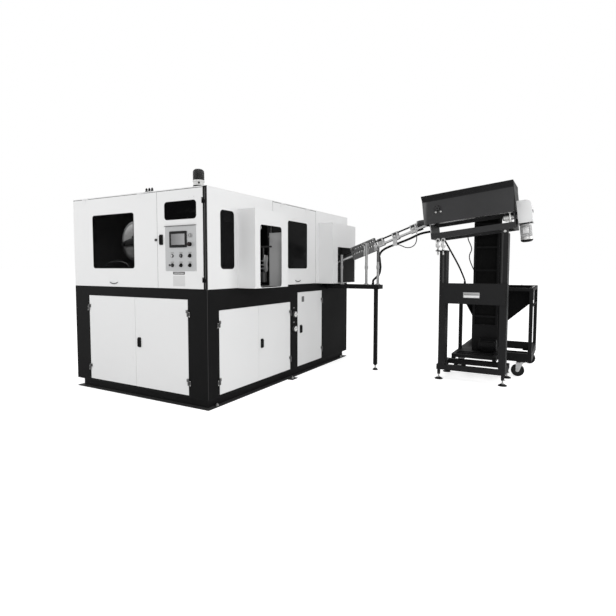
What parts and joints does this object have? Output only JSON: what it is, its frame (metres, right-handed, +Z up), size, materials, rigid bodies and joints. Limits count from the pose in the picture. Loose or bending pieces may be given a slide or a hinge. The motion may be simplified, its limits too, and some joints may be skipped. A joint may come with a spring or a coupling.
{
  "type": "stretch blow moulding machine with preform feeder",
  "caption": "Automatic stretch blow moulding machine for bottles with a sloping preform rail, tilted roller feeder, elevator and hopper cart.",
  "frame": {"origin": "on the floor at the centre of the four corner anchor holes of the machine's plinth", "axes": "+X to the right along the front towards the feeder, -Y is the front, +Z up"},
  "size_m": [4.4685, 3.926, 2.29],
  "materials": {
    "frame_black": "satin",
    "panel_white": "satin",
    "window_tint": "gloss",
    "plate_grey": "satin",
    "screen_black": "gloss",
    "lens_dark": "gloss",
    "button_red": "gloss",
    "button_white": "gloss",
    "button_grey": "gloss",
    "button_black": "matte",
    "key_steel": "polished",
    "latch_black": "matte",
    "machine_grey": "satin",
    "bright_steel": "brushed",
    "trough_charcoal": "matte",
    "caster_zinc": "satin",
    "wheel_black": "matte",
    "cable_black": "matte"
  },
  "bodies": {
    "machine": {"plinth": "frame_black", "base_frame": "frame_black", "cabinet_shell": "panel_white", "long_window": "window_tint", "outlet_hood": "panel_white", "infeed_hood": "panel_white", "beacon_base": "panel_white", "beacon_lens": "lens_dark", "clamp_frame": "machine_grey", "oven": "machine_grey", "side_shelf": "frame_black", "infeed_rail": "bright_steel", "rail_supports": "bright_steel", "stand_frame": "frame_black", "tilt_frame": "frame_black", "trough": "trough_charcoal", "feeder_drive": "panel_white", "elevator": "frame_black", "hopper": "frame_black", "cart_frame": "frame_black", "rail_cable": "cable_black", "sensor_cable": "cable_black", "feeder_cable": "cable_black", "elevator_cable": "cable_black"},
    "base_door_front_left": {"base_door_front_left": "panel_white"},
    "base_door_front_right": {"base_door_front_right": "panel_white"},
    "base_door_side_front": {"base_door_side_front": "panel_white"},
    "base_door_side_rear": {"base_door_side_rear": "panel_white"},
    "base_door_rear": {"base_door_rear": "panel_white"},
    "latch_front": {"latch_front": "latch_black"},
    "latch_side": {"latch_side": "latch_black"},
    "latch_rear": {"latch_rear": "latch_black"},
    "front_door": {"front_door": "panel_white", "front_window": "window_tint"},
    "side_door": {"side_door": "panel_white", "side_window": "window_tint"},
    "control_door": {"control_door": "panel_white", "control_window": "window_tint", "control_plate": "plate_grey", "touch_screen": "screen_black"},
    "control_latch": {"control_latch": "latch_black"},
    "emergency_stop": {"emergency_stop": "button_red"},
    "start_button": {"start_button": "button_white"},
    "stop_button": {"stop_button": "button_grey"},
    "mode_selector": {"mode_selector": "button_black"},
    "heat_selector": {"heat_selector": "button_black"},
    "air_selector": {"air_selector": "button_black"},
    "key_switch": {"key_switch": "key_steel"},
    "platen_left": {"platen_left": "bright_steel"},
    "platen_right": {"platen_right": "bright_steel"},
    "stretch_unit": {"stretch_unit": "bright_steel"},
    "crank_wheel": {"crank_wheel": "plate_grey"},
    "roller_front": {"roller_front": "bright_steel"},
    "roller_rear": {"roller_rear": "bright_steel"},
    "caster_fork_left": {"caster_fork_left": "caster_zinc"},
    "wheel_front_left": {"wheel_front_left": "wheel_black"},
    "wheel_rear_left": {"wheel_rear_left": "wheel_black"},
    "caster_fork_right": {"caster_fork_right": "caster_zinc"},
    "wheel_front_right": {"wheel_front_right": "wheel_black"},
    "wheel_rear_right": {"wheel_rear_right": "wheel_black"}
  },
  "joints": [
    {"name": "base_door_front_left_swing", "type": "hinge", "parent": "machine", "child": "base_door_front_left", "pos_m": [-0.717, -1.538, 0.239], "axis": [0, 0, -1], "range_deg": [0, 110]},
    {"name": "base_door_front_right_swing", "type": "hinge", "parent": "machine", "child": "base_door_front_right", "pos_m": [0.712, -1.538, 0.239], "axis": [0, 0, 1], "range_deg": [0, 110]},
    {"name": "base_door_side_front_swing", "type": "hinge", "parent": "machine", "child": "base_door_side_front", "pos_m": [0.958, -1.371, 0.239], "axis": [0, 0, -1], "range_deg": [0, 110]},
    {"name": "base_door_side_rear_swing", "type": "hinge", "parent": "machine", "child": "base_door_side_rear", "pos_m": [0.958, -0.087, 0.239], "axis": [0, 0, 1], "range_deg": [0, 110]},
    {"name": "base_door_rear_swing", "type": "hinge", "parent": "machine", "child": "base_door_rear", "pos_m": [0.958, 0.721, 0.239], "axis": [0, 0, 1], "range_deg": [0, 110]},
    {"name": "latch_front_turn", "type": "hinge", "parent": "base_door_front_right", "child": "latch_front", "pos_m": [0.054, -1.53, 0.565], "axis": [0, 1, 0], "range_deg": [0, 90]},
    {"name": "latch_side_turn", "type": "hinge", "parent": "base_door_side_rear", "child": "latch_side", "pos_m": [0.95, -0.6725, 0.505], "axis": [-1, 0, 0], "range_deg": [0, 90]},
    {"name": "latch_rear_turn", "type": "hinge", "parent": "base_door_rear", "child": "latch_rear", "pos_m": [0.95, 0.161, 0.565], "axis": [-1, 0, 0], "range_deg": [0, 90]},
    {"name": "front_door_lift", "type": "hinge", "parent": "machine", "child": "front_door", "pos_m": [-0.31, -1.536, 2.04], "axis": [-1, 0, 0], "range_deg": [0, 80]},
    {"name": "side_door_lift", "type": "hinge", "parent": "machine", "child": "side_door", "pos_m": [0.956, 0.045, 2.04], "axis": [0, -1, 0], "range_deg": [0, 80]},
    {"name": "control_door_swing", "type": "hinge", "parent": "machine", "child": "control_door", "pos_m": [0.91, -1.538, 1.21], "axis": [0, 0, 1], "range_deg": [0, 110]},
    {"name": "control_latch_turn", "type": "hinge", "parent": "control_door", "child": "control_latch", "pos_m": [0.3835, -1.53, 1.58], "axis": [0, 1, 0], "range_deg": [0, 90]},
    {"name": "emergency_stop_press", "type": "slide", "parent": "control_door", "child": "emergency_stop", "axis": [0, 1, 0], "range_m": [0, 0.005]},
    {"name": "start_button_press", "type": "slide", "parent": "control_door", "child": "start_button", "axis": [0, 1, 0], "range_m": [0, 0.004], "stiffness_N_per_m": 600},
    {"name": "stop_button_press", "type": "slide", "parent": "control_door", "child": "stop_button", "axis": [0, 1, 0], "range_m": [0, 0.004], "stiffness_N_per_m": 600},
    {"name": "mode_selector_turn", "type": "hinge", "parent": "control_door", "child": "mode_selector", "pos_m": [0.75, -1.53, 1.425], "axis": [0, -1, 0], "range_deg": [0, 70]},
    {"name": "heat_selector_turn", "type": "hinge", "parent": "control_door", "child": "heat_selector", "pos_m": [0.639, -1.53, 1.337], "axis": [0, -1, 0], "range_deg": [0, 70]},
    {"name": "air_selector_turn", "type": "hinge", "parent": "control_door", "child": "air_selector", "pos_m": [0.75, -1.53, 1.337], "axis": [0, -1, 0], "range_deg": [0, 70]},
    {"name": "key_switch_turn", "type": "hinge", "parent": "control_door", "child": "key_switch", "pos_m": [0.528, -1.53, 1.337], "axis": [0, 1, 0], "range_deg": [0, 90]},
    {"name": "platen_left_close", "type": "slide", "parent": "machine", "child": "platen_left", "axis": [1, 0, 0], "range_m": [0, 0.0897]},
    {"name": "platen_right_close", "type": "slide", "parent": "machine", "child": "platen_right", "axis": [-1, 0, 0], "range_m": [0, 0.0897]},
    {"name": "stretch_unit_lower", "type": "slide", "parent": "machine", "child": "stretch_unit", "axis": [0, 0, -1], "range_m": [0, 0.15]},
    {"name": "crank_wheel_spin", "type": "hinge", "parent": "machine", "child": "crank_wheel", "pos_m": [-0.24, -1.19, 1.598], "axis": [0, 1, 0], "continuous": true},
    {"name": "roller_front_spin", "type": "hinge", "parent": "machine", "child": "roller_front", "pos_m": [2.29222, 0.864, 1.88015], "axis": [0.9938, 0, 0.1115], "continuous": true},
    {"name": "roller_rear_spin", "type": "hinge", "parent": "machine", "child": "roller_rear", "pos_m": [2.29222, 0.976, 1.88015], "axis": [0.9938, 0, 0.1115], "continuous": true},
    {"name": "caster_fork_left_swivel", "type": "hinge", "parent": "machine", "child": "caster_fork_left", "pos_m": [2.654, 1.386, 0.19], "axis": [0, 0, 1], "continuous": true},
    {"name": "wheel_front_left_spin", "type": "hinge", "parent": "caster_fork_left", "child": "wheel_front_left", "pos_m": [2.616, 1.386, 0.075], "axis": [0, 1, 0], "continuous": true},
    {"name": "wheel_rear_left_spin", "type": "hinge", "parent": "machine", "child": "wheel_rear_left", "pos_m": [2.692, 2.295, 0.075], "axis": [0, 1, 0], "continuous": true},
    {"name": "caster_fork_right_swivel", "type": "hinge", "parent": "machine", "child": "caster_fork_right", "pos_m": [3.333, 1.386, 0.19], "axis": [0, 0, 1], "continuous": true},
    {"name": "wheel_front_right_spin", "type": "hinge", "parent": "caster_fork_right", "child": "wheel_front_right", "pos_m": [3.295, 1.386, 0.075], "axis": [0, 1, 0], "continuous": true},
    {"name": "wheel_rear_right_spin", "type": "hinge", "parent": "machine", "child": "wheel_rear_right", "pos_m": [3.371, 2.295, 0.075], "axis": [0, 1, 0], "continuous": true}
  ],
  "couplings": [
    {"joint": "platen_right_close", "follows": "platen_left_close", "ratio": 1},
    {"joint": "roller_rear_spin", "follows": "roller_front_spin", "ratio": -1}
  ]
}
